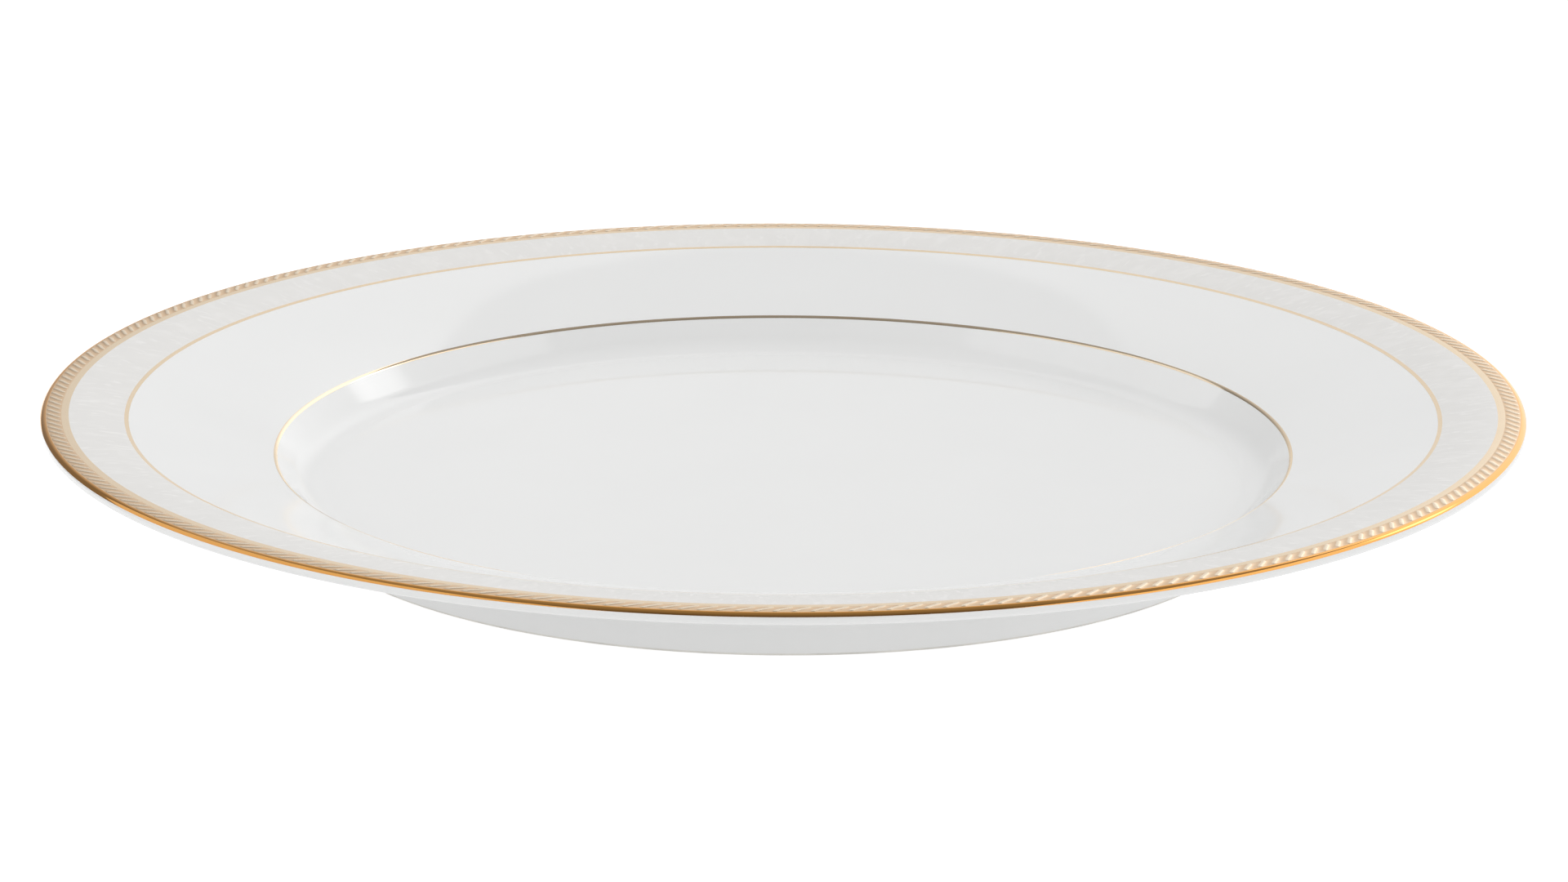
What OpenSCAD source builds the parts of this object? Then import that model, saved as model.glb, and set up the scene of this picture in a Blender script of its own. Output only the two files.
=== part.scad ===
// China dinner plate with a gilt lip, a rope-etched gold band and a pearl band.
// The plate stands on its foot ring at z = 0, and +Z is its axis of revolution. Sizes are in millimetres.

/* [Rim] */
// Diameter over the glazed lip
plate_d = 270; // [240:1:320]
// Slope of the rim where it leaves the verge, in degrees
rim_angle = 21; // [17:0.5:26]
// Slope of the rim at its gold line, in degrees
shoulder_angle = 15; // [11:0.5:16]
// Radius of the upper half of the lip
lip_top_r = 1.2; // [0.9:0.05:1.6]
// Radius of the lower half of the lip
lip_under_r = 0.65; // [0.5:0.05:1]

/* [Well] */
// Diameter of the verge, the edge between the well and the rim
verge_d = 187; // [175:0.5:200]
// Height of the verge above the table
verge_h = 12.2; // [11:0.1:15]
// Radius of the rolled edge of the verge
verge_r = 1.6; // [1.5:0.1:3]
// Slope of the wall of the well, in degrees
wall_angle = 47; // [40:0.5:60]
// Radius of the fillet between the wall and the floor
well_fillet = 8; // [5:0.5:10]
// Height of the floor above the table, at its edge
floor_h = 6.1; // [5:0.1:7.5]
// Slope of the dished floor at its edge, in degrees
floor_angle = 0.6; // [0.2:0.1:1.5]

/* [Base] */
// Thickness of the rim beside the verge
verge_t = 3.4; // [2.5:0.1:4.5]
// Radius of the fillet under the rim, where it meets the base
base_fillet = 7; // [4:0.5:9]
// Distance from the verge in to the flat face of the foot ring
foot_inset = 5.3; // [4:0.1:8]
// Width of the flat face of the foot ring
foot_w = 2.6; // [2:0.1:5]
// Rounding of both edges of the foot ring
foot_round = 0.8; // [0.5:0.05:1.2]
// Slope of the foot ring's inner wall, in degrees
foot_inner_angle = 65; // [50:1:80]
// Depth of the recess inside the foot ring
recess_depth = 2.4; // [1.8:0.1:3]
// Radius of the fillet in the corner of the recess
recess_fillet = 2; // [1.2:0.1:3]

/* [Coats] */
// Thickness of the glaze
glaze_t = 0.2; // [0.1:0.05:0.4]
// Thickness of the gold
gilding_t = 0.08; // [0.05:0.01:0.15]
// Thickness of the pearl lustre
pearl_t = 0.06; // [0.05:0.01:0.15]

/* [Bands] */
// Height of the edge of the lip's gold, in degrees above the middle of the lip
lip_gold_angle = 35; // [0:1:60]
// Width of the etched gold band
etched_w = 2.7; // [2:0.1:5]
// Width of the plain gold line inside the etched band
border_w = 1.3; // [0.5:0.1:3]
// Width of the pearl band
pearl_w = 9.8; // [5:0.1:14]
// Width of the gold line inside the pearl band
rim_line_w = 0.75; // [0.4:0.05:1.5]

/* [Rope ornament] */
// Number of strokes around the etched band
rope_strokes = 288; // [120:1:300]
// Distance along the band that each stroke leans
rope_lean = 2.4; // [0:0.1:3.5]
// Width of a stroke at its middle
rope_stroke_w = 1.7; // [0.8:0.05:2]
// Height of the strokes above the band
rope_relief = 0.12; // [0.05:0.01:0.3]
// Bare gold left at both edges of the band
rope_margin = 0.1; // [0.05:0.05:0.4]

/* [Hidden] */
$fn = 96;
same_point = 0.000001;
rope_steps = 4;
rope_root = gilding_t / 2;

// Radii of the zones on the rim, from the lip inwards
lip_r = plate_d / 2 - lip_top_r;
etched_r = lip_r - etched_w;
border_r = etched_r - border_w;
pearl_r = border_r - pearl_w;
rim_line_r = pearl_r - rim_line_w;
verge_rim_r = verge_d / 2;

// A bend is an arc of the section: its centre, its radius (negative where the surface is hollow),
// the slopes at its two ends and how many steps it is drawn in
function normal(slope) = [-sin(slope), cos(slope)];
function bend(centre, radius, from, to, steps) = [centre, radius, from, to, steps];
function bend_point(b, slope, lift) = b[0] + (b[1] + lift) * normal(slope);
function bend_points(b, lift) =
    [for (i = [0 : b[4]]) bend_point(b, b[2] + (b[3] - b[2]) * i / b[4], lift)];
function joined(bends, lift) = [for (b = bends) each bend_points(b, lift)];
function without_repeats(p) =
    [for (i = [0 : len(p) - 1]) if (i == 0 || norm(p[i] - p[max(i - 1, 0)]) > same_point) p[i]];
function reversed(p) = [for (i = [len(p) - 1 : -1 : 0]) p[i]];

// Rim and edge: two convex arcs, from the verge to the gold line and on to the level lip
rim_arc_r = (rim_line_r - verge_rim_r) / (sin(rim_angle) - sin(shoulder_angle));
rim_arc_c = [verge_rim_r, verge_h] - rim_arc_r * normal(rim_angle);
edge_arc_r = (lip_r - rim_line_r) / sin(shoulder_angle);
edge_arc_c = rim_arc_c + (rim_arc_r - edge_arc_r) * normal(shoulder_angle);
function edge_slope(radius) = asin((lip_r - radius) / edge_arc_r);
function edge_bend(from_r, to_r, steps) =
    bend(edge_arc_c, edge_arc_r, edge_slope(from_r), edge_slope(to_r), steps);
rim_bend = bend(rim_arc_c, rim_arc_r, rim_angle, shoulder_angle, 6);
rim_line_bend = edge_bend(rim_line_r, pearl_r, 1);
pearl_bend = edge_bend(pearl_r, border_r, 5);
border_bend = edge_bend(border_r, etched_r, 1);
etched_bend = edge_bend(etched_r, lip_r, 1);

// Lip: an upper and a lower arc that meet at the plate's widest point
lip_c = edge_arc_c + [0, edge_arc_r - lip_top_r];
lip_gold_end = lip_gold_angle - 90;
lip_gold_bend = bend(lip_c, lip_top_r, 0, lip_gold_end, 6);
lip_bare_bend = bend(lip_c, lip_top_r, lip_gold_end, -90, 3);
lip_under_c = lip_c + [lip_top_r - lip_under_r, 0];
rim_taper = atan((verge_t - lip_top_r - lip_under_r) / (lip_r - verge_rim_r));
lip_under_bend = bend(lip_under_c, lip_under_r, -90, rim_taper - 180, 6);

// Underside of the rim: it follows the face and thickens evenly towards the verge
under_edge_from = rim_taper - 180;
under_edge_to = under_edge_from + shoulder_angle;
under_edge_r = (lip_r - rim_line_r) / (sin(shoulder_angle + rim_taper) - sin(rim_taper));
under_edge_c = lip_under_c + (lip_under_r + under_edge_r) * normal(under_edge_from);
under_edge_bend = bend(under_edge_c, -under_edge_r, under_edge_from, under_edge_to, 6);
under_rim_to = under_edge_from + rim_angle;
under_rim_r = (rim_line_r - verge_rim_r) / (sin(rim_angle + rim_taper) - sin(shoulder_angle + rim_taper));
under_rim_c = under_edge_c + (under_rim_r - under_edge_r) * normal(under_edge_to);
under_rim_bend = bend(under_rim_c, -under_rim_r, under_edge_to, under_rim_to, 6);

// Base: a fillet under the verge, then a straight wall that is tangent to the rounded foot
foot_r = verge_rim_r - foot_inset;
foot_outer_c = [foot_r, foot_round];
base_fillet_c = under_rim_c + (base_fillet - under_rim_r) * normal(under_rim_to);
base_span = base_fillet_c - foot_outer_c;
base_slope = atan2(base_span[1], base_span[0]) + asin((base_fillet + foot_round) / norm(base_span));
base_bend = bend(base_fillet_c, -base_fillet, under_rim_to, base_slope - 180, 8);
foot_outer_bend = bend(foot_outer_c, foot_round, base_slope - 180, -180, 4);

// Recess inside the foot ring, with a flat ceiling
foot_inner_c = [foot_r - foot_w, foot_round];
foot_inner_bend = bend(foot_inner_c, foot_round, -180, -180 - foot_inner_angle, 4);
recess_c_z = recess_depth - recess_fillet;
recess_run = (recess_fillet + foot_round + (recess_c_z - foot_round) * cos(foot_inner_angle))
    / sin(foot_inner_angle);
recess_c = [foot_inner_c[0] - recess_run, recess_c_z];
recess_bend = bend(recess_c, -recess_fillet, -180 - foot_inner_angle, -180, 6);

// Well: dished floor, fillet, straight wall and the rolled verge
verge_c = rim_arc_c + (rim_arc_r - verge_r) * normal(rim_angle);
verge_bend = bend(verge_c, verge_r, wall_angle, rim_angle, 5);
well_c_z = floor_h + well_fillet * cos(floor_angle);
well_run = (well_fillet + verge_r - (well_c_z - verge_c[1]) * cos(wall_angle)) / sin(wall_angle);
well_c = [verge_c[0] - well_run, well_c_z];
well_bend = bend(well_c, -well_fillet, floor_angle, wall_angle, 8);
floor_edge = bend_point(well_bend, floor_angle, 0);
floor_arc_r = floor_edge[0] / sin(floor_angle);
floor_bend = bend([0, floor_edge[1] + floor_arc_r * cos(floor_angle)], -floor_arc_r, 0, floor_angle, 4);

// The glazed surfaces, each from the axis outwards and down to the bare foot
face_bends = [floor_bend, well_bend, verge_bend, rim_bend, rim_line_bend, pearl_bend, border_bend,
              etched_bend, lip_gold_bend, lip_bare_bend, lip_under_bend, under_edge_bend,
              under_rim_bend, base_bend];
function face_points(lift) =
    without_repeats(concat(joined(face_bends, lift), [bend_point(foot_outer_bend, base_slope - 180, lift)]));
function recess_points(lift) =
    concat([bend_point(foot_inner_bend, -180 - foot_inner_angle, lift)], bend_points(recess_bend, lift),
           [[0, recess_depth - lift]]);

// One slanted S-stroke of the rope, drawn flat: X runs outwards, and the stroke's two ends follow it
rope_length = etched_w - 2 * rope_margin;
rope_slope = (etched_bend[2] + etched_bend[3]) / 2;
rope_foot = (bend_point(etched_bend, etched_bend[2], rope_root)
    + bend_point(etched_bend, etched_bend[3], rope_root)) / 2;
function s_lean(u) = rope_lean * (u * u * (3 - 2 * u) - 0.5);
function stroke_half_w(u) = rope_stroke_w / 2 * sqrt(sin(180 * u));
function stroke_edge(u, side) = [rope_length * (u - 0.5), side * stroke_half_w(u) - s_lean(u)];
stroke_outline = concat([for (i = [0 : rope_steps]) stroke_edge(i / rope_steps, -1)],
    [for (i = [rope_steps - 1 : -1 : 1]) stroke_edge(i / rope_steps, 1)]);

// A coat lies on one bend of the glazed face
module coat(b, from, to) {
    rotate_extrude() polygon(concat(bend_points(b, from), reversed(bend_points(b, to))));
}

module china_body() {
    color("whitesmoke") rotate_extrude() polygon(concat(face_points(-glaze_t),
        bend_points(foot_outer_bend, 0), bend_points(foot_inner_bend, 0), recess_points(-glaze_t)));
}

module face_glaze() {
    color("white") rotate_extrude() polygon(concat(face_points(0), reversed(face_points(-glaze_t))));
}

module recess_glaze() {
    color("white") rotate_extrude() polygon(concat(recess_points(0), reversed(recess_points(-glaze_t))));
}

module lip_gilding() {
    color("goldenrod") coat(lip_gold_bend, 0, gilding_t);
}

// The stroke stands on the band's own slope, rooted in the gold
module rope_stroke() {
    translate([rope_foot[0], 0, rope_foot[1]]) rotate([0, -rope_slope, 0])
        linear_extrude(gilding_t + rope_relief - rope_root) polygon(stroke_outline);
}

module etched_gold_band() {
    color("tan") {
        coat(etched_bend, 0, gilding_t);
        for (i = [0 : rope_strokes - 1]) rotate(i * 360 / rope_strokes) rope_stroke();
    }
}

module gold_border_line() {
    color("burlywood") coat(border_bend, 0, gilding_t);
}

module pearl_band() {
    color("linen") coat(pearl_bend, 0, pearl_t);
}

module rim_gold_line() {
    color("burlywood") coat(rim_line_bend, 0, gilding_t);
}

module verge_gold_line() {
    color("burlywood") coat(verge_bend, 0, gilding_t);
}

china_body();
face_glaze();
recess_glaze();
lip_gilding();
etched_gold_band();
gold_border_line();
pearl_band();
rim_gold_line();
verge_gold_line();
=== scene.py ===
"""Dresses the packed china dinner plate with glaze, gilding, a rope-etched band and pearl lustre."""

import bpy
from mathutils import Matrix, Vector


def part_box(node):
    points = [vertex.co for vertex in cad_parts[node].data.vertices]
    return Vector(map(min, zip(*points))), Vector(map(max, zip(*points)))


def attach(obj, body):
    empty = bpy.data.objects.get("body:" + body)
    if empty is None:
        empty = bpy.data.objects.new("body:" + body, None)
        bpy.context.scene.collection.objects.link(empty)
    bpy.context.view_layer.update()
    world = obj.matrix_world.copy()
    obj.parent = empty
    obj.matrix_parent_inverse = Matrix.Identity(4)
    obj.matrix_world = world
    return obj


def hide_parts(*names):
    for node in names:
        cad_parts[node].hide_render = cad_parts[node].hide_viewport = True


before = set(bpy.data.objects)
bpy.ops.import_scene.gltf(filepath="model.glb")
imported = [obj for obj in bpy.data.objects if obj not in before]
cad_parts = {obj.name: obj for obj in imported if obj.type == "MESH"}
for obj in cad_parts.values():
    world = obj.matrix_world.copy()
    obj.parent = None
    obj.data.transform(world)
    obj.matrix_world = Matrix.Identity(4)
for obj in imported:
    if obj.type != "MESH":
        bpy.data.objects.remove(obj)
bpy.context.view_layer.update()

import math
from typing import NamedTuple

import bpy
import numpy as np
from mathutils import Matrix, Vector

bl_info = {
    "name": "China Dinner Plate",
    "version": (1, 0, 0),
    "blender": (4, 5, 0),
    "location": "View3D > Sidebar > Plate",
    "description": "Builds a gilt-edged china dinner plate on its packed solids",
    "category": "Add Mesh",
}

MM = 0.001
BODY = "root"
COLUMNS = 420
LEAST_STEPS = 6
FINEST_TURN = math.radians(5)
TINY = 1e-7
SHARP_EDGE = math.radians(35)

# The packed solids give the heights and the radii where the coats meet
PLATE_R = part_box("face_glaze")[1].x
LIP_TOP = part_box("face_glaze")[1].z
LIP_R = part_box("etched_gold_band")[1].x
ETCHED_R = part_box("gold_border_line")[1].x
BORDER_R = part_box("pearl_band")[1].x
PEARL_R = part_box("rim_gold_line")[1].x
VERGE_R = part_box("verge_gold_line")[1].x


# Kinds of setting


def length(name, description, default):
    return bpy.props.FloatProperty(
        name=name, description=description, default=default, min=0.0, precision=5, unit="LENGTH"
    )


def angle(name, description, degrees):
    return bpy.props.FloatProperty(
        name=name, description=description, default=math.radians(degrees), unit="ROTATION"
    )


def share(name, description, default, highest=1.0):
    return bpy.props.FloatProperty(
        name=name, description=description, default=default, min=0.0, max=highest, subtype="FACTOR"
    )


def count(name, description, default):
    return bpy.props.IntProperty(name=name, description=description, default=default, min=1)


def colour(name, description, default):
    return bpy.props.FloatVectorProperty(
        name=name, description=description, default=default, size=3, min=0.0, max=1.0, subtype="COLOR"
    )


class PlateSizes(bpy.types.PropertyGroup):
    """Sizes of the china body and its glaze"""

    rim_angle: angle("Rim angle", "Slope of the rim where it leaves the verge", 21)
    shoulder_angle: angle("Shoulder angle", "Slope of the rim at its gold line", 15)
    lip_under_r: length("Lip underside", "Radius of the lower half of the lip", 0.65 * MM)
    verge_roll: length("Verge roll", "Radius of the rolled edge between the well and the rim", 1.6 * MM)
    verge_t: length("Rim thickness", "Thickness of the rim beside the verge", 3.4 * MM)
    wall_angle: angle("Wall angle", "Slope of the wall of the well", 47)
    well_fillet: length("Well fillet", "Radius between the wall and the floor", 8 * MM)
    floor_h: length("Floor height", "Height of the floor above the table, at its edge", 6.1 * MM)
    floor_angle: angle("Floor angle", "Slope of the dished floor at its edge", 0.6)
    base_fillet: length("Base fillet", "Radius under the rim, where it meets the base", 7 * MM)
    foot_inset: length("Foot inset", "Distance from the verge in to the flat face of the foot", 5.3 * MM)
    foot_w: length("Foot width", "Width of the flat face of the foot ring", 2.6 * MM)
    foot_round: length("Foot rounding", "Rounding of both edges of the foot ring", 0.8 * MM)
    foot_inner_angle: angle("Foot wall", "Slope of the foot ring's inner wall", 65)
    recess_depth: length("Recess depth", "Depth of the recess inside the foot ring", 2.4 * MM)
    recess_fillet: length("Recess fillet", "Radius in the corner of the recess", 2 * MM)
    glaze_t: length("Glaze", "Thickness of the glaze", 0.2 * MM)


class BandSizes(bpy.types.PropertyGroup):
    """Sizes of the gold and the pearl lustre"""

    gilding_t: length("Gold", "Thickness of the gold", 0.03 * MM)
    pearl_t: length("Lustre", "Thickness of the pearl lustre", 0.03 * MM)
    lip_gold_angle: angle("Lip gold", "Edge of the lip's gold, above the middle of the lip", 35)
    rim_line_w: length("Rim line", "Width of the gold line inside the pearl band", 0.75 * MM)
    rope_strokes: count("Rope strokes", "Number of strokes around the etched band", 288)
    rope_lean: length("Rope lean", "Distance along the band that each stroke leans", 2.4 * MM)
    rope_stroke_w: length("Stroke width", "Width of a stroke at its middle", 1.7 * MM)
    rope_tip: share("Stroke tip", "Width of a stroke's tips, as a share of its middle", 0.45)
    rope_relief: length("Rope relief", "Height of the strokes above the band", 0.1 * MM)
    rope_margin: length("Rope margin", "Bare gold left at both edges of the band", 0.1 * MM)


class Finishes(bpy.types.PropertyGroup):
    """Colours and roughness of the coats"""

    glaze: colour("Glaze", "White china seen through its glaze", (0.86, 0.862, 0.856))
    bisque: colour("Bisque", "Bare fired china of the foot", (0.80, 0.785, 0.74))
    lip_gold: colour("Lip gold", "Thick burnished gold of the lip", (0.87, 0.43, 0.12))
    line_gold: colour("Line gold", "Thin burnished gold of the lines", (0.98, 0.81, 0.60))
    gold_edge: colour("Gold at the edge", "Burnished gold seen at a flat angle", (1.0, 0.95, 0.88))
    # Etched colours: the darker ground is painted shade between and beside the strokes, the paler tops
    # are a painted highlight
    etched_ground_and_shade: colour("Etched ground", "Matt gold between the strokes", (0.90, 0.67, 0.46))
    etched_tops_and_highlight: colour("Etched strokes", "Gold on the top of the strokes", (1.0, 0.87, 0.70))
    pearl: colour("Pearl ground", "Ground of the pearl band", (0.79, 0.777, 0.755))
    pearl_stroke: colour("Pearl strokes", "Brushed strokes of the pearl band", (0.835, 0.823, 0.803))
    glaze_rough: share("Glaze roughness", "Roughness of the glaze", 0.05)
    gold_rough: share("Gold roughness", "Roughness of the burnished gold", 0.07)


class StudioSettings(bpy.types.PropertyGroup):
    """The camera and the light of the white studio"""

    lens: bpy.props.FloatProperty(
        name="Lens", description="Focal length on a 36 mm sensor", default=93.75, unit="CAMERA"
    )
    distance: length("Distance", "From the camera to the middle of the lip's plane", 0.752)
    elevation: angle("Elevation", "Height of the camera above the lip's plane", 15.04)
    roll: angle("Roll", "Turn of the camera about its own axis", 0.205)
    aim: bpy.props.FloatVectorProperty(
        name="Aim", description="Point in the middle of the picture",
        default=(0.00014, 0, 0.0117), subtype="TRANSLATION", unit="LENGTH"
    )
    left_panel: share("Left panel", "Brightness of the panel on the left", 1.1, 4.0)
    right_panel: share("Right panel", "Brightness of the panel on the right", 1.5, 4.0)
    hot_lamp: share("Hot lamp", "Brightness of the small high lamp on the right", 2.6, 9.0)
    key_light: bpy.props.FloatProperty(
        name="Key light", description="Power of the soft lamp overhead",
        default=15.3, min=0.0, unit="POWER"
    )
    table_glow: share("Table glow", "Glow of the table that lights the plate from beneath", 0.43)


# Section of the plate


def normal(slope):
    return Vector((-math.sin(slope), math.cos(slope)))


class Bend(NamedTuple):
    """An arc of the section, hollow where its radius is negative, between two slopes."""

    centre: Vector
    radius: float
    start: float
    end: float

    def point(self, slope, lift=0.0):
        return self.centre + (self.radius + lift) * normal(slope)

    def points(self, lift=0.0):
        turn = self.end - self.start
        steps = max(LEAST_STEPS, math.ceil(abs(turn) / FINEST_TURN))
        return [self.point(self.start + turn * i / steps, lift) for i in range(steps + 1)]


class Section:
    """The plate's outline as tangent arcs: from the middle of the floor, over the lip, to the foot."""

    def __init__(self, plate, bands):
        quarter, half = math.radians(90), math.radians(180)
        rim_line_r = PEARL_R - bands.rim_line_w

        # Rim and edge, worked down from the level top of the lip
        self.edge_r = (LIP_R - rim_line_r) / math.sin(plate.shoulder_angle)
        self.edge_c = Vector((LIP_R, LIP_TOP - self.edge_r))
        rim_r = (rim_line_r - VERGE_R) / (math.sin(plate.rim_angle) - math.sin(plate.shoulder_angle))
        rim_c = self.edge_c + (self.edge_r - rim_r) * normal(plate.shoulder_angle)
        self.rim = Bend(rim_c, rim_r, plate.rim_angle, plate.shoulder_angle)
        self.rim_line = self.edge_bend(rim_line_r, PEARL_R)
        self.pearl = self.edge_bend(PEARL_R, BORDER_R)
        self.border = self.edge_bend(BORDER_R, ETCHED_R)
        self.etched = self.edge_bend(ETCHED_R, LIP_R)

        # Lip
        lip_top_r = PLATE_R - LIP_R
        lip_c = Vector((LIP_R, LIP_TOP - lip_top_r))
        gold_end = bands.lip_gold_angle - quarter
        self.lip_gold = Bend(lip_c, lip_top_r, 0.0, gold_end)
        self.lip_bare = Bend(lip_c, lip_top_r, gold_end, -quarter)
        under_c = lip_c + Vector((lip_top_r - plate.lip_under_r, 0.0))
        taper = math.atan((plate.verge_t - lip_top_r - plate.lip_under_r) / (LIP_R - VERGE_R))
        self.lip_under = Bend(under_c, plate.lip_under_r, -quarter, taper - half)

        # Underside of the rim, which thickens evenly towards the verge
        edge_to = taper - half + plate.shoulder_angle
        rim_to = taper - half + plate.rim_angle
        edge_r = (LIP_R - rim_line_r) / (math.sin(plate.shoulder_angle + taper) - math.sin(taper))
        edge_c = under_c + (plate.lip_under_r + edge_r) * normal(taper - half)
        self.under_edge = Bend(edge_c, -edge_r, taper - half, edge_to)
        rim_rise = math.sin(plate.rim_angle + taper) - math.sin(plate.shoulder_angle + taper)
        under_r = (rim_line_r - VERGE_R) / rim_rise
        under_rim_c = edge_c + (under_r - edge_r) * normal(edge_to)
        self.under_rim = Bend(under_rim_c, -under_r, edge_to, rim_to)

        # Base, whose straight wall is tangent to its fillet and to the rounded foot
        foot_r = VERGE_R - plate.foot_inset
        foot_c = Vector((foot_r, plate.foot_round))
        fillet_c = under_rim_c + (plate.base_fillet - under_r) * normal(rim_to)
        span = fillet_c - foot_c
        lean = math.asin((plate.base_fillet + plate.foot_round) / span.length)
        base_slope = math.atan2(span.y, span.x) + lean - half
        self.base = Bend(fillet_c, -plate.base_fillet, rim_to, base_slope)
        self.foot_outer = Bend(foot_c, plate.foot_round, base_slope, -half)

        # Recess inside the foot ring
        inner_slope = -half - plate.foot_inner_angle
        inner_c = foot_c - Vector((plate.foot_w, 0.0))
        self.foot_inner = Bend(inner_c, plate.foot_round, -half, inner_slope)
        recess_z = plate.recess_depth - plate.recess_fillet
        reach = plate.recess_fillet + plate.foot_round
        drop = (recess_z - plate.foot_round) * math.cos(plate.foot_inner_angle)
        run = (reach + drop) / math.sin(plate.foot_inner_angle)
        self.recess = Bend(Vector((inner_c.x - run, recess_z)), -plate.recess_fillet, inner_slope, -half)
        self.recess_depth = plate.recess_depth

        # Well: rolled verge, straight wall, fillet and dished floor
        verge_c = rim_c + (rim_r - plate.verge_roll) * normal(plate.rim_angle)
        self.verge = Bend(verge_c, plate.verge_roll, plate.wall_angle, plate.rim_angle)
        well_z = plate.floor_h + plate.well_fillet * math.cos(plate.floor_angle)
        wall_drop = (well_z - verge_c.y) * math.cos(plate.wall_angle)
        run = (plate.well_fillet + plate.verge_roll - wall_drop) / math.sin(plate.wall_angle)
        well_c = Vector((verge_c.x - run, well_z))
        self.well = Bend(well_c, -plate.well_fillet, plate.floor_angle, plate.wall_angle)
        floor_edge = self.well.point(plate.floor_angle)
        floor_r = floor_edge.x / math.sin(plate.floor_angle)
        floor_c = Vector((0.0, floor_edge.y + floor_r * math.cos(plate.floor_angle)))
        self.floor = Bend(floor_c, -floor_r, 0.0, plate.floor_angle)

    def edge_bend(self, from_r, to_r):
        return Bend(self.edge_c, self.edge_r, self.edge_slope(from_r), self.edge_slope(to_r))

    def edge_slope(self, radius):
        return math.asin((LIP_R - radius) / self.edge_r)

    def face_points(self, lift):
        """The glazed face, from the axis over the lip and down to the bare foot."""
        bends = (
            self.floor, self.well, self.verge,
            self.rim, self.rim_line, self.pearl, self.border, self.etched,
            self.lip_gold, self.lip_bare, self.lip_under,
            self.under_edge, self.under_rim, self.base,
        )
        points = [point for bend in bends for point in bend.points(lift)]
        return without_repeats([*points, self.foot_outer.points(lift)[0]])

    def foot_points(self):
        return without_repeats(self.foot_outer.points() + self.foot_inner.points())

    def recess_points(self, lift):
        """The glazed recess, from the bare foot in to the axis."""
        middle = Vector((0.0, self.recess_depth - lift))
        return [self.foot_inner.points(lift)[-1], *self.recess.points(lift), middle]


def without_repeats(points):
    return [p for i, p in enumerate(points) if i == 0 or (p - points[i - 1]).length > TINY]


# Meshes


def ring_mesh(name, lines, material):
    """A closed mesh between lines of points round the axis; a line of one point is a pole."""
    starts = np.cumsum([0] + [len(line) for line in lines])
    faces = []
    for i, line in enumerate(lines):
        follower = (i + 1) % len(lines)
        here, there = starts[i], starts[follower]
        columns = max(len(line), len(lines[follower]))
        if columns == 1:
            continue
        step = np.arange(columns)
        after = (step + 1) % columns
        if len(line) == 1:
            corners = (np.full(columns, here), there + step, there + after)
        elif len(lines[follower]) == 1:
            corners = (here + step, np.full(columns, there), here + after)
        else:
            corners = (here + step, there + step, there + after, here + after)
        faces += np.stack(corners, 1).tolist()
    mesh = bpy.data.meshes.new(name)
    mesh.from_pydata(np.concatenate(lines).tolist(), [], faces)
    mesh.polygons.foreach_set("use_smooth", [True] * len(mesh.polygons))
    mesh.set_sharp_from_angle(angle=SHARP_EDGE)
    mesh.materials.append(material)
    piece = bpy.data.objects.new(name, mesh)
    bpy.context.scene.collection.objects.link(piece)
    return piece


def around(point, angles):
    """A line of points at one radius and height."""
    turned = np.stack((np.cos(angles), np.sin(angles), np.ones_like(angles)), 1)
    return turned * np.array((point.x, point.x, point.y))


def lathe(name, section, material):
    angles = np.linspace(0.0, math.tau, COLUMNS, endpoint=False)
    lines = [around(p, angles if p.x > TINY else angles[:1]) for p in section]
    return ring_mesh(name, lines, material)


def coat(name, bend, thickness, material):
    """A thin ring of gold or lustre on one arc of the glazed face."""
    return lathe(name, bend.points(thickness) + bend.points()[::-1], material)


def settle(piece, node):
    """Puts a piece in the place of its packed solid."""
    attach(piece, BODY)
    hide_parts(node)


# Rope ornament

# Places of a stroke's points, across it from edge to edge and along it from tip to tip
STROKE_COLUMNS = (-1.0, -0.8, -0.45, 0.0, 0.45, 0.8, 1.0)
STROKE_LINES = (0.0, 0.04, 0.12, 0.22, 0.36, 0.5, 0.64, 0.78, 0.88, 0.96, 1.0)
# Power that rounds a stroke's crown, and the share of its length in which a tip rises
STROKE_CROWN = 0.7
TIP_ROUND = 0.14


def s_curve(u):
    return u * u * (3.0 - 2.0 * u)


def stroke_angles(bands, radius, u):
    """Angles of the middle of every gap and the columns of every stroke, on one line of the band."""
    pitch = math.tau / bands.rope_strokes
    width = bands.rope_stroke_w * (bands.rope_tip + (1.0 - bands.rope_tip) * math.sin(math.pi * u))
    lean = bands.rope_lean * (0.5 - s_curve(u))
    columns = (lean + width / 2 * np.array(STROKE_COLUMNS)) / radius
    gap = lean / radius - pitch / 2
    strokes = np.arange(bands.rope_strokes)[:, None] * pitch
    return (strokes + np.array([gap, *columns])).ravel()


def stroke_relief(bands, u):
    """Share of the full relief at the same gaps and columns."""
    crown = (1.0 - np.array(STROKE_COLUMNS) ** 2) ** STROKE_CROWN
    tip = min(1.0, min(u, 1.0 - u) / TIP_ROUND)
    height = crown * math.sqrt(1.0 - (1.0 - tip) ** 2)
    return np.tile([0.0, *height], bands.rope_strokes)


def rope_lines(section, bands):
    """Lines of points over the raised strokes, from edge to edge of the band, and their relief."""
    start, end = ETCHED_R + bands.rope_margin, LIP_R - bands.rope_margin
    inside = [(start + u * (end - start), u) for u in STROKE_LINES]
    across = [(ETCHED_R, 0.0), *inside, (LIP_R, 1.0)]
    lines, reliefs = [], []
    for radius, u in across:
        angles, relief = stroke_angles(bands, radius, u), stroke_relief(bands, u)
        slope = section.edge_slope(radius)
        foot, up = section.etched.point(slope, bands.gilding_t), normal(slope) * bands.rope_relief
        out, high = foot.x + relief * up.x, foot.y + relief * up.y
        lines.append(np.stack((out * np.cos(angles), out * np.sin(angles), high), 1))
        reliefs.append(relief)
    first, last = (
        around(section.etched.point(section.edge_slope(radius)), stroke_angles(bands, radius, u))
        for radius, u in (across[0], across[-1])
    )
    flat = np.zeros(len(first))
    return [first, *lines, last], np.concatenate([flat, *reliefs, flat])


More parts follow.
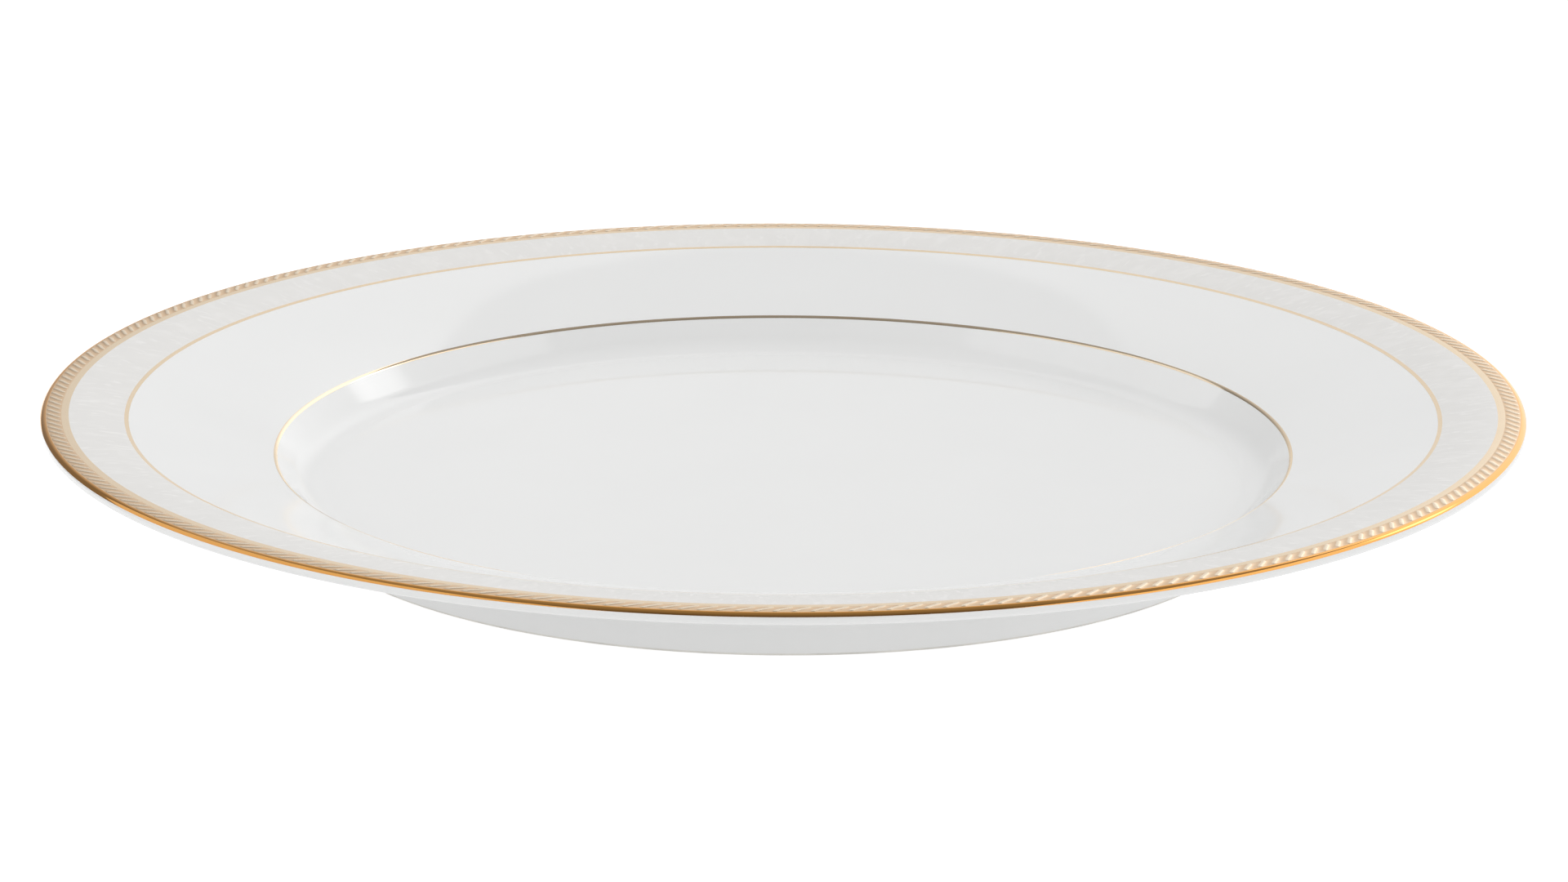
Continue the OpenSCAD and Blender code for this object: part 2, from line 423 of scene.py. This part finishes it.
# Materials


class Nodes:
    """A material's node tree, with short ways to add and join nodes."""

    def __init__(self, tree):
        self.tree = tree
        tree.nodes.clear()

    def add(self, kind, inputs=(), **settings):
        node = self.tree.nodes.new(kind)
        for key, value in settings.items():
            setattr(node, key, value)
        for socket, value in dict(inputs).items():
            if isinstance(value, bpy.types.NodeSocket):
                self.tree.links.new(value, node.inputs[socket])
            else:
                node.inputs[socket].default_value = value
        return node

    def math(self, operation, *values):
        return self.add("ShaderNodeMath", enumerate(values), operation=operation).outputs[0]

    def vector(self, operation, *values):
        return self.add("ShaderNodeVectorMath", enumerate(values), operation=operation).outputs["Vector"]

    def ranged(self, value, low, high, to_low=0.0, to_high=1.0):
        inputs = {"Value": value, "From Min": low, "From Max": high, "To Min": to_low, "To Max": to_high}
        return self.add("ShaderNodeMapRange", inputs, interpolation_type="SMOOTHSTEP").outputs["Result"]

    def mixed(self, factor, first, second):
        inputs = {0: factor, 6: rgba(first), 7: rgba(second)}
        return self.add("ShaderNodeMix", inputs, data_type="RGBA").outputs[2]

    def blend(self, factor, first, second):
        return self.add("ShaderNodeMix", {0: factor, 2: first, 3: second}).outputs[0]

    def ramp(self, value, stops):
        node = self.add("ShaderNodeValToRGB", {"Fac": value})
        elements = node.color_ramp.elements
        while len(elements) < len(stops):
            elements.new(1.0)
        for element, (at, bright) in zip(elements, stops):
            element.position = at
            element.color = (*(bright,) * 3, 1.0)
        return node.outputs["Color"]

    def noise(self, vector, scale, detail=2.0, distortion=0.0):
        inputs = {"Vector": vector, "Scale": scale, "Detail": detail, "Distortion": distortion}
        return self.add("ShaderNodeTexNoise", inputs).outputs["Fac"]

    def bump(self, height, distance):
        return self.add("ShaderNodeBump", {"Height": height, "Distance": distance}).outputs["Normal"]

    def place(self):
        return self.add("ShaderNodeTexCoord").outputs["Object"]

    def flat_place(self):
        return self.vector("MULTIPLY", self.place(), (1.0, 1.0, 0.0))

    def radius(self):
        reach = self.add("ShaderNodeVectorMath", {0: self.flat_place()}, operation="LENGTH")
        return reach.outputs["Value"]

    def round_plate(self, along, across):
        """Texture space that runs round the plate: along and across are features in a metre."""
        outward = self.vector("NORMALIZE", self.flat_place())
        ring = self.vector("MULTIPLY", outward, (PEARL_R * along,) * 3)
        out = self.math("MULTIPLY", self.radius(), across)
        return self.vector("ADD", ring, self.add("ShaderNodeCombineXYZ", {"Z": out}).outputs[0])

    def seen(self):
        """One where a ray comes from the camera, a reflection or a refraction."""
        path = self.add("ShaderNodeLightPath").outputs
        mirrored = self.math("MAXIMUM", path["Is Glossy Ray"], path["Is Transmission Ray"])
        return self.math("MAXIMUM", path["Is Camera Ray"], mirrored)

    def surface(self, inputs):
        shader = self.add("ShaderNodeBsdfPrincipled", inputs)
        self.add("ShaderNodeOutputMaterial", {"Surface": shader.outputs[0]})


def rgba(value):
    return value if isinstance(value, bpy.types.NodeSocket) else (*value, 1.0)


def new_material(name):
    material = bpy.data.materials.new(name)
    material.use_nodes = True
    return material, Nodes(material.node_tree)


def scaled(tone, factor):
    return tuple(min(1.0, c * factor) for c in tone)


# Stretch in which most of a noise lies
NOISE_MIDDLE = (0.3, 0.7)


# White glaze: features in a metre, height of the ripple, and shares of the settings

GLAZE_CLOUDS = 45.0
GLAZE_RIPPLES = 38.0
GLAZE_SPECKS = 600.0
RIPPLE_H = 0.03 * MM
GLAZE_SHADES = (0.985, 1.01)
SPECK_ROUGH = 1.5
GLAZE_IOR = 1.52


def glaze_material(finish):
    """Clear glaze over white china: a faint cloudiness and a soft ripple that bends reflections."""
    material, nodes = new_material("white_glaze")
    place = nodes.place()
    dim, bright = (scaled(finish.glaze, shade) for shade in GLAZE_SHADES)
    speck = nodes.noise(place, GLAZE_SPECKS)
    smooth, rough = finish.glaze_rough, finish.glaze_rough * SPECK_ROUGH
    nodes.surface({
        "Base Color": nodes.mixed(nodes.noise(place, GLAZE_CLOUDS), dim, bright),
        "Roughness": nodes.ranged(speck, *NOISE_MIDDLE, smooth, rough),
        "IOR": GLAZE_IOR,
        "Normal": nodes.bump(nodes.noise(place, GLAZE_RIPPLES, detail=1.0), RIPPLE_H),
    })
    return material


# Bare bisque: features in a metre, height of the grain, and its grey and roughness where worn

BISQUE_WEAR = 140.0
BISQUE_GRAIN = 2600.0
GRAIN_H = 0.02 * MM
WEAR_STRETCH = (0.35, 0.75)
WORN_GREY = 0.82
BISQUE_ROUGH = (0.72, 0.55)


def bisque_material(finish):
    """Bare fired china, with a fine grain and the grey of a worn foot."""
    material, nodes = new_material("bare_bisque")
    place = nodes.place()
    worn = nodes.ranged(nodes.noise(place, BISQUE_WEAR, detail=4.0), *WEAR_STRETCH)
    nodes.surface({
        "Base Color": nodes.mixed(worn, finish.bisque, scaled(finish.bisque, WORN_GREY)),
        "Roughness": nodes.ranged(worn, 0.0, 1.0, *BISQUE_ROUGH),
        "Normal": nodes.bump(nodes.noise(place, BISQUE_GRAIN, detail=3.0), GRAIN_H),
    })
    return material


# Burnished gold: features in a metre, along and across the rubbing marks, and shares of the settings

RUBBING = (90.0, 9000.0)
RUBBING_H = 0.002 * MM
RUBBED_ROUGH = (0.8, 1.5)
GOLD_PATCHES = 170.0
WORN_GOLD = 0.95


def burnished_material(finish):
    """Burnished gold, with fine rubbing marks along the line."""
    material, nodes = new_material("burnished_gold")
    rubbed = nodes.noise(nodes.round_plate(*RUBBING), 1.0, detail=3.0)
    smooth, rough = (finish.gold_rough * part for part in RUBBED_ROUGH)
    on_lip = nodes.math("GREATER_THAN", nodes.radius(), LIP_R - TINY)
    full = nodes.mixed(on_lip, finish.line_gold, finish.lip_gold)
    worn = nodes.mixed(on_lip, scaled(finish.line_gold, WORN_GOLD), scaled(finish.lip_gold, WORN_GOLD))
    nodes.surface({
        "Base Color": nodes.mixed(nodes.noise(nodes.place(), GOLD_PATCHES), worn, full),
        "Metallic": 1.0,
        "Roughness": nodes.ranged(rubbed, *NOISE_MIDDLE, smooth, rough),
        "Specular Tint": rgba(finish.gold_edge),
        "Normal": nodes.bump(rubbed, RUBBING_H),
    })
    return material


# Etched gold: grains in a metre, how far they change the relief, and the relief that counts as a top,
# which is rubbed smoother and given a painted highlight

ETCHED_GRAIN = 9000.0
ETCHED_GRAIN_H = 0.006 * MM
GRAIN_WEAR = 0.12
STROKE_TOP_RUBBED_AND_LIT = (0.15, 0.9)
ETCHED_ROUGH = (0.34, 0.26)


def etched_material(finish):
    """Etched gold: a matt ground in painted shade between and beside the strokes, and stroke tops rubbed
    smoother and given a painted highlight.
    """
    material, nodes = new_material("etched_gold")
    raised = nodes.add("ShaderNodeAttribute", attribute_name="relief").outputs["Fac"]
    grain = nodes.noise(nodes.place(), ETCHED_GRAIN)
    worn = nodes.math("ADD", raised, nodes.ranged(grain, *NOISE_MIDDLE, -GRAIN_WEAR, GRAIN_WEAR))
    # Tops of the strokes, jittered by the grain, are rubbed smoother and get a painted highlight; the
    # ground gets painted shade
    top = nodes.ranged(worn, *STROKE_TOP_RUBBED_AND_LIT)
    nodes.surface({
        # Painted shade on the ground and a painted highlight on the stroke tops
        "Base Color": nodes.mixed(top, finish.etched_ground_and_shade, finish.etched_tops_and_highlight),
        "Metallic": 1.0,
        "Roughness": nodes.ranged(top, 0.0, 1.0, *ETCHED_ROUGH),
        "Specular Tint": rgba(finish.gold_edge),
        "Normal": nodes.bump(grain, ETCHED_GRAIN_H),
    })
    return material


# Pearl lustre: features in a metre, along and across the band, and the noise that makes a stroke

PEARL_CLOUDS = 95.0
PEARL_SHADE = 0.985
FINE_STROKES = (700.0, 300.0)
FINE_STRETCH = (0.52, 0.8)
BROAD_STROKES = (260.0, 130.0)
BROAD_STRETCH = (0.42, 0.8)
BROAD_SHARE = 0.7
BRUSHED_H = 0.004 * MM
PEARL_ROUGH = (0.16, 0.24)
LUSTRE_IOR = 1.6


def pearl_material(finish):
    """Mother-of-pearl lustre: brushed radial strokes over a clouded, faintly coloured ground."""
    material, nodes = new_material("pearl_lustre")
    cloud = nodes.ranged(nodes.noise(nodes.place(), PEARL_CLOUDS, detail=3.0), *NOISE_MIDDLE)
    ground = nodes.mixed(cloud, scaled(finish.pearl, PEARL_SHADE), finish.pearl)
    fine = nodes.noise(nodes.round_plate(*FINE_STROKES), 1.0, detail=1.0, distortion=0.4)
    broad = nodes.noise(nodes.round_plate(*BROAD_STROKES), 1.0, distortion=0.8)
    broad = nodes.math("MULTIPLY", nodes.ranged(broad, *BROAD_STRETCH), BROAD_SHARE)
    stroke = nodes.math("MAXIMUM", nodes.ranged(fine, *FINE_STRETCH), broad)
    nodes.surface({
        "Base Color": nodes.mixed(stroke, ground, finish.pearl_stroke),
        "Roughness": nodes.ranged(stroke, 0.0, 1.0, *PEARL_ROUGH),
        "IOR": LUSTRE_IOR,
        "Normal": nodes.bump(stroke, BRUSHED_H),
    })
    return material


# Operators


def section_of(scene):
    return Section(scene.plate_sizes, scene.plate_bands)


class PLATE_OT_body(bpy.types.Operator):
    """Turns the bare china body, of which only the foot shows"""

    bl_idname = "plate.body"
    bl_label = "China Body"

    def execute(self, context):
        scene = context.scene
        section = section_of(scene)
        inside = -scene.plate_sizes.glaze_t
        outline = section.face_points(inside) + section.foot_points() + section.recess_points(inside)
        body = lathe("bisque_body", outline, bisque_material(scene.plate_finishes))
        settle(body, "china_body")
        return {"FINISHED"}


class PLATE_OT_glaze(bpy.types.Operator):
    """Coats the face and the recess with glaze, up to the bare foot"""

    bl_idname = "plate.glaze"
    bl_label = "Glaze"

    def execute(self, context):
        scene = context.scene
        section = section_of(scene)
        inside = -scene.plate_sizes.glaze_t
        material = glaze_material(scene.plate_finishes)
        face = section.face_points(0.0) + section.face_points(inside)[::-1]
        settle(lathe("glazed_face", face, material), "face_glaze")
        recess = section.recess_points(0.0) + section.recess_points(inside)[::-1]
        settle(lathe("glazed_recess", recess, material), "recess_glaze")
        return {"FINISHED"}


class PLATE_OT_gold(bpy.types.Operator):
    """Lays the burnished gold on the lip and the three plain lines"""

    bl_idname = "plate.gold"
    bl_label = "Burnished Gold"

    def execute(self, context):
        scene = context.scene
        section = section_of(scene)
        material = burnished_material(scene.plate_finishes)
        thickness = scene.plate_bands.gilding_t
        lines = (
            ("gilded_lip", section.lip_gold, "lip_gilding"),
            ("border_line", section.border, "gold_border_line"),
            ("rim_line", section.rim_line, "rim_gold_line"),
            ("verge_line", section.verge, "verge_gold_line"),
        )
        for name, bend, node in lines:
            settle(coat(name, bend, thickness, material), node)
        return {"FINISHED"}


class PLATE_OT_rope(bpy.types.Operator):
    """Raises the rope ornament on the etched gold band"""

    bl_idname = "plate.rope"
    bl_label = "Rope Band"

    def execute(self, context):
        scene = context.scene
        section = section_of(scene)
        lines, relief = rope_lines(section, scene.plate_bands)
        band = ring_mesh("rope_band", lines, etched_material(scene.plate_finishes))
        band.data.attributes.new("relief", "FLOAT", "POINT").data.foreach_set("value", relief)
        settle(band, "etched_gold_band")
        return {"FINISHED"}


class PLATE_OT_pearl(bpy.types.Operator):
    """Brushes the pearl lustre on the rim"""

    bl_idname = "plate.pearl"
    bl_label = "Pearl Band"

    def execute(self, context):
        scene = context.scene
        section = section_of(scene)
        material = pearl_material(scene.plate_finishes)
        band = coat("lustre_band", section.pearl, scene.plate_bands.pearl_t, material)
        settle(band, "pearl_band")
        return {"FINISHED"}


class PLATE_OT_stage(bpy.types.Operator):
    """Sets the white floor, the tent of light and the camera"""

    bl_idname = "plate.stage"
    bl_label = "Studio"

    def execute(self, context):
        studio = context.scene.plate_studio
        add_floor(studio)
        light_tent(context.scene, studio)
        add_key(context.scene, studio)
        add_camera(context.scene, studio)
        context.scene.view_settings.view_transform = "Standard"
        return {"FINISHED"}


# Studio

TABLE_R = 6.0
TABLE_SIDES = 96
TABLE_WHITE = 0.5
# Glow of the table where the camera or a mirror sees it
TABLE_SEEN = 0.75
KEY_PLACE = Vector((-0.9, 0.15, 1.9))
KEY_SIZE = 1.6
# Tilt where the backdrop ends, as a share of the half turn from the far to the near horizon
BACKDROP_TOP = 0.244
# Lower top on the left: between two places of x, from the first tilt to the second
LEFT_TOP = (-0.7, -0.3, 0.19, BACKDROP_TOP)
# Sideways over rise at the inner edges of the panels, and how much it grows towards the back
LEFT_EDGE = 0.5
RIGHT_EDGE = 0.62
EDGE_TURN = 0.17
# Softness of the edges, and how much crisper the backdrop's top is
BLUR = 0.015
BACKDROP_STEEP = 3.0
# Light of the backdrop and of the ceiling, each by tilt
BACKDROP_LIGHT = ((0.0, 1.0), (0.1, 0.98), (0.25, 1.0))
CEILING_LIGHT = (
    (0.25, 0.45), (0.33, 0.45), (0.5, 0.32), (0.66, 0.15), (0.74, 0.14), (0.85, 0.4), (1.0, 0.5)
)
# Share of the backdrop's light: between two places of x, from the first share to the second
LEFT_FADE = (-0.5, -0.05, 0.3, 1.0)
RIGHT_RISE = (0.07, 0.3, 1.0, 1.7)
# Way to the small lamp, and the cosines off it between which it fades in
HOT_LAMP = Vector((0.645, 0.543, 0.54)).normalized()
HOT_SPREAD = (0.988, 0.999)


def add_floor(studio):
    """A white light table: its glow and the light on it make white, less the plate's shadow."""
    material, nodes = new_material("white_table")
    glow = nodes.blend(nodes.seen(), studio.table_glow, TABLE_SEEN)
    shine = nodes.add("ShaderNodeEmission", {"Strength": glow})
    lit = nodes.add("ShaderNodeBsdfDiffuse", {"Color": rgba((TABLE_WHITE,) * 3)})
    white = nodes.add("ShaderNodeAddShader", {0: lit.outputs[0], 1: shine.outputs[0]})
    nodes.add("ShaderNodeOutputMaterial", {"Surface": white.outputs[0]})
    bpy.ops.mesh.primitive_circle_add(vertices=TABLE_SIDES, radius=TABLE_R, fill_type="NGON")
    floor = bpy.context.object
    floor.name = "floor"
    floor.data.materials.append(material)


def add_key(scene, studio):
    """A soft lamp overhead that mirrors don't show."""
    light = bpy.data.lights.new("key", "AREA")
    light.shape = "DISK"
    light.size = KEY_SIZE
    light.energy = studio.key_light
    key = bpy.data.objects.new("key", light)
    scene.collection.objects.link(key)
    key.location = KEY_PLACE
    key.rotation_euler = (-KEY_PLACE).to_track_quat("-Z", "Y").to_euler()
    key.visible_camera = False
    key.visible_glossy = False


def light_tent(scene, studio):
    """Two big soft panels, a dim ceiling between them, a white backdrop and a small lamp."""
    world = bpy.data.worlds.new("tent")
    scene.world = world
    world.use_nodes = True
    nodes = Nodes(world.node_tree)
    way = nodes.vector("NORMALIZE", nodes.add("ShaderNodeTexCoord").outputs["Generated"])
    x, y, z = nodes.add("ShaderNodeSeparateXYZ", {0: way}).outputs
    high = nodes.math("MAXIMUM", z, 0.0)

    # Backdrop, dimmer on the left and brighter on the right, and ceiling, darkest above the camera
    tilt = nodes.math("DIVIDE", nodes.math("ARCTAN2", high, y), math.pi)
    sides = nodes.math("MULTIPLY", nodes.ranged(x, *LEFT_FADE), nodes.ranged(x, *RIGHT_RISE))
    backdrop = nodes.math("MULTIPLY", nodes.ramp(tilt, BACKDROP_LIGHT), sides)
    ceiling = nodes.ramp(tilt, CEILING_LIGHT)

    # Panels on both sides, above the backdrop and beside the ceiling
    on_right = nodes.math("GREATER_THAN", x, 0.0)
    panel = nodes.blend(on_right, studio.left_panel, studio.right_panel)
    top = nodes.ranged(x, *LEFT_TOP)
    behind = nodes.math("MULTIPLY", nodes.math("SUBTRACT", top, tilt), BACKDROP_STEEP)
    edge = nodes.math("MULTIPLY_ADD", y, EDGE_TURN, nodes.blend(on_right, LEFT_EDGE, RIGHT_EDGE))
    beside = nodes.math("SUBTRACT", nodes.math("ABSOLUTE", x), nodes.math("MULTIPLY", high, edge))
    overhead = nodes.blend(nodes.ranged(beside, 0.0, BLUR), ceiling, panel)
    light = nodes.blend(nodes.ranged(behind, 0.0, BLUR), overhead, backdrop)

    # A small bright lamp behind the plate, on the right
    aim = nodes.add("ShaderNodeVectorMath", {0: way, 1: HOT_LAMP}, operation="DOT_PRODUCT")
    lamp = nodes.ranged(aim.outputs["Value"], *HOT_SPREAD, 0.0, studio.hot_lamp)
    light = nodes.math("ADD", light, lamp)
    shine = nodes.add("ShaderNodeBackground", {"Strength": light})
    nodes.add("ShaderNodeOutputWorld", {"Surface": shine.outputs[0]})


def add_camera(scene, studio):
    """A camera at the photograph's angle, in front of the plate."""
    lens = bpy.data.cameras.new("camera")
    lens.lens = studio.lens
    camera = bpy.data.objects.new("camera", lens)
    scene.collection.objects.link(camera)
    back = Vector((0.0, -math.cos(studio.elevation), math.sin(studio.elevation)))
    camera.location = Vector((0.0, 0.0, LIP_TOP)) + back * studio.distance
    facing = (Vector(studio.aim) - camera.location).to_track_quat("-Z", "Y").to_matrix()
    camera.rotation_euler = (facing @ Matrix.Rotation(studio.roll, 3, "Z")).to_euler()
    scene.camera = camera


# Add-on


class PLATE_PT_panel(bpy.types.Panel):
    """Lists the steps that build the plate, with their settings"""

    bl_label = "China Dinner Plate"
    bl_idname = "PLATE_PT_panel"
    bl_space_type = "VIEW_3D"
    bl_region_type = "UI"
    bl_category = "Plate"

    def draw(self, context):
        for step in STEPS:
            self.layout.operator(step.bl_idname)
        for name, kind in SETTINGS.items():
            box = self.layout.box()
            box.label(text=kind.__doc__)
            for key in kind.__annotations__:
                box.prop(getattr(context.scene, name), key)


SETTINGS = {
    "plate_sizes": PlateSizes,
    "plate_bands": BandSizes,
    "plate_finishes": Finishes,
    "plate_studio": StudioSettings,
}
STEPS = (PLATE_OT_body, PLATE_OT_glaze, PLATE_OT_gold, PLATE_OT_rope, PLATE_OT_pearl, PLATE_OT_stage)


def register():
    for kind in (*SETTINGS.values(), *STEPS, PLATE_PT_panel):
        bpy.utils.register_class(kind)
    for name, kind in SETTINGS.items():
        setattr(bpy.types.Scene, name, bpy.props.PointerProperty(type=kind))


def unregister():
    for name in SETTINGS:
        delattr(bpy.types.Scene, name)
    for kind in reversed((*SETTINGS.values(), *STEPS, PLATE_PT_panel)):
        bpy.utils.unregister_class(kind)


def main():
    register()
    bpy.ops.plate.body()
    bpy.ops.plate.glaze()
    bpy.ops.plate.gold()
    bpy.ops.plate.rope()
    bpy.ops.plate.pearl()
    bpy.ops.plate.stage()


if __name__ == "__main__":
    main()
